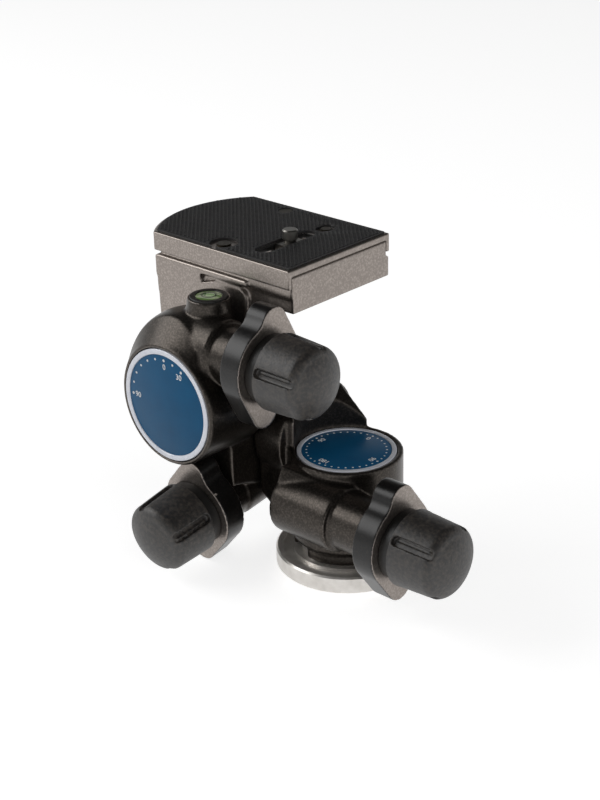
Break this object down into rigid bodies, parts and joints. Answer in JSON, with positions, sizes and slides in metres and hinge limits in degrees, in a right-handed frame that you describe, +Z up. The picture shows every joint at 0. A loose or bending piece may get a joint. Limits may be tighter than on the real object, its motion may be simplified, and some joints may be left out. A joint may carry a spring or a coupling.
{
  "type": "geared tripod head",
  "caption": "Geared tripod head: pan and two tilts, each turned by a worm gear and a rubber knob with a winged release collar; dials, bubble level and quick-release plate on top.",
  "frame": {"origin": "centre of the base's underside, on the pan axis, at the mouth of the tripod thread", "axes": "+Z up along the pan axis, +X along the pan worm towards its knob, -Y the way the front tilt knob points"},
  "size_m": [0.1793, 0.1148, 0.1377],
  "materials": {
    "casting": "cast, with a dark brown grey powder coat",
    "collar": "cast, satin black",
    "bare_aluminium": "turned",
    "steel": "turned and ground",
    "bronze": "machined bronze",
    "rubber": "matt dark grey rubber",
    "dial_blue": "blue anodised with a bright rim",
    "acetal": "low-friction washer",
    "vial": "green spirit level",
    "button": "matt black",
    "brass_trim": "machined brass"
  },
  "bodies": {
    "base": {"base_plate": "bare_aluminium", "base_screws": "steel", "pan_spindle": "steel", "pan_running_washer": "acetal", "pan_worm_wheel": "bronze", "pan_spindle_nut": "steel", "pan_thrust_washer": "acetal", "pan_dial_plate": "dial_blue"},
    "pan": {"pan_housing": "casting", "pan_bush": "bronze", "pan_stop_screw": "steel", "front_spindle": "steel", "front_lock_screw": "steel", "front_worm_wheel": "bronze", "front_spindle_nut": "steel", "front_thrust_washer": "acetal", "front_dial_plate": "dial_blue", "front_running_washer": "acetal"},
    "middle": {"middle_housing": "casting", "front_bush": "bronze", "front_stop_screw": "steel", "side_bush": "bronze", "side_stop_screw": "steel", "level_bezel": "button", "level_vial": "vial"},
    "platform": {"platform": "casting", "side_spindle": "steel", "wall_screw": "steel", "side_worm_wheel": "bronze", "side_spindle_nut": "steel", "side_thrust_washer": "acetal", "side_dial_plate": "dial_blue", "side_running_washer": "acetal", "clamp_pin": "steel", "clamp_spring": "steel", "plate": "casting", "plate_pad": "rubber", "plate_pins": "brass_trim"},
    "pan_lever": {"pan_release_lever": "collar", "pan_lever_spring": "steel", "pan_worm_bush": "bronze"},
    "pan_knob": {"pan_worm": "steel", "pan_knob_core": "bare_aluminium", "pan_knob_grip": "rubber"},
    "front_lever": {"front_release_lever": "collar", "front_lever_spring": "steel", "front_worm_bush": "bronze"},
    "front_knob": {"front_worm": "steel", "front_knob_core": "bare_aluminium", "front_knob_grip": "rubber"},
    "side_lever": {"side_release_lever": "collar", "side_lever_spring": "steel", "side_worm_bush": "bronze"},
    "side_knob": {"side_worm": "steel", "side_knob_core": "bare_aluminium", "side_knob_grip": "rubber"},
    "clamp_lever": {"clamp_lever": "casting"},
    "safety_button": {"safety_button": "button"},
    "screw_guide": {"screw_guide": "steel"},
    "camera_screw": {"camera_screw": "steel"}
  },
  "joints": [
    {"name": "pan_turn", "type": "hinge", "parent": "base", "child": "pan", "pos_m": [0, 0, 0.0335], "axis": [0, 0, 1], "continuous": true},
    {"name": "front_tilt", "type": "hinge", "parent": "pan", "child": "middle", "pos_m": [-0.049, 0.0055, 0.0503], "axis": [-1, 0, 0], "range_deg": [-30, 90]},
    {"name": "side_tilt", "type": "hinge", "parent": "middle", "child": "platform", "pos_m": [-0.052, -0.033, 0.073], "axis": [0, -1, 0], "range_deg": [-30, 90]},
    {"name": "pan_lever_turn", "type": "hinge", "parent": "pan", "child": "pan_lever", "pos_m": [0.034, -0.022, 0.03165], "axis": [1, 0, 0], "range_deg": [0, 50], "stiffness_Nm_per_rad": 0.05, "springref_deg": -34.38},
    {"name": "front_lever_turn", "type": "hinge", "parent": "middle", "child": "front_lever", "pos_m": [-0.05085, -0.02488, 0.02352], "axis": [0, 0.989, 0.1478], "range_deg": [0, 50], "stiffness_Nm_per_rad": 0.05, "springref_deg": -34.38},
    {"name": "side_lever_turn", "type": "hinge", "parent": "middle", "child": "side_lever", "pos_m": [-0.018, -0.03485, 0.095], "axis": [1, 0, 0], "range_deg": [0, 50], "stiffness_Nm_per_rad": 0.05, "springref_deg": -34.38},
    {"name": "pan_knob_turn", "type": "hinge", "parent": "pan_lever", "child": "pan_knob", "pos_m": [0.034, -0.022, 0.0335], "axis": [1, 0, 0], "continuous": true},
    {"name": "front_knob_turn", "type": "hinge", "parent": "front_lever", "child": "front_knob", "pos_m": [-0.049, -0.02488, 0.02352], "axis": [0, -0.989, -0.1478], "range_deg": [-1440, 4320]},
    {"name": "side_knob_turn", "type": "hinge", "parent": "side_lever", "child": "side_knob", "pos_m": [-0.018, -0.033, 0.095], "axis": [1, 0, 0], "range_deg": [-1440, 4320]},
    {"name": "clamp_open", "type": "hinge", "parent": "platform", "child": "clamp_lever", "pos_m": [-0.084, 0.035, 0.115], "axis": [0, 0, -1], "range_deg": [0, 60], "stiffness_Nm_per_rad": 0.02, "springref_deg": -28.65},
    {"name": "safety_press", "type": "slide", "parent": "platform", "child": "safety_button", "axis": [0, -1, 0], "range_m": [0, 0.0025], "stiffness_N_per_m": 300, "springref_m": -0.002},
    {"name": "camera_screw_slide", "type": "slide", "parent": "platform", "child": "screw_guide", "axis": [0, 1, 0], "range_m": [-0.0125, 0.0065]},
    {"name": "camera_screw_turn", "type": "hinge", "parent": "screw_guide", "child": "camera_screw", "pos_m": [-0.0388, 0.0104, 0.127], "axis": [0, 0, 1], "continuous": true}
  ],
  "couplings": [
    {"joint": "pan_knob_turn", "follows": "pan_turn", "ratio": 48},
    {"joint": "front_knob_turn", "follows": "front_tilt", "ratio": 48},
    {"joint": "side_knob_turn", "follows": "side_tilt", "ratio": 48}
  ]
}
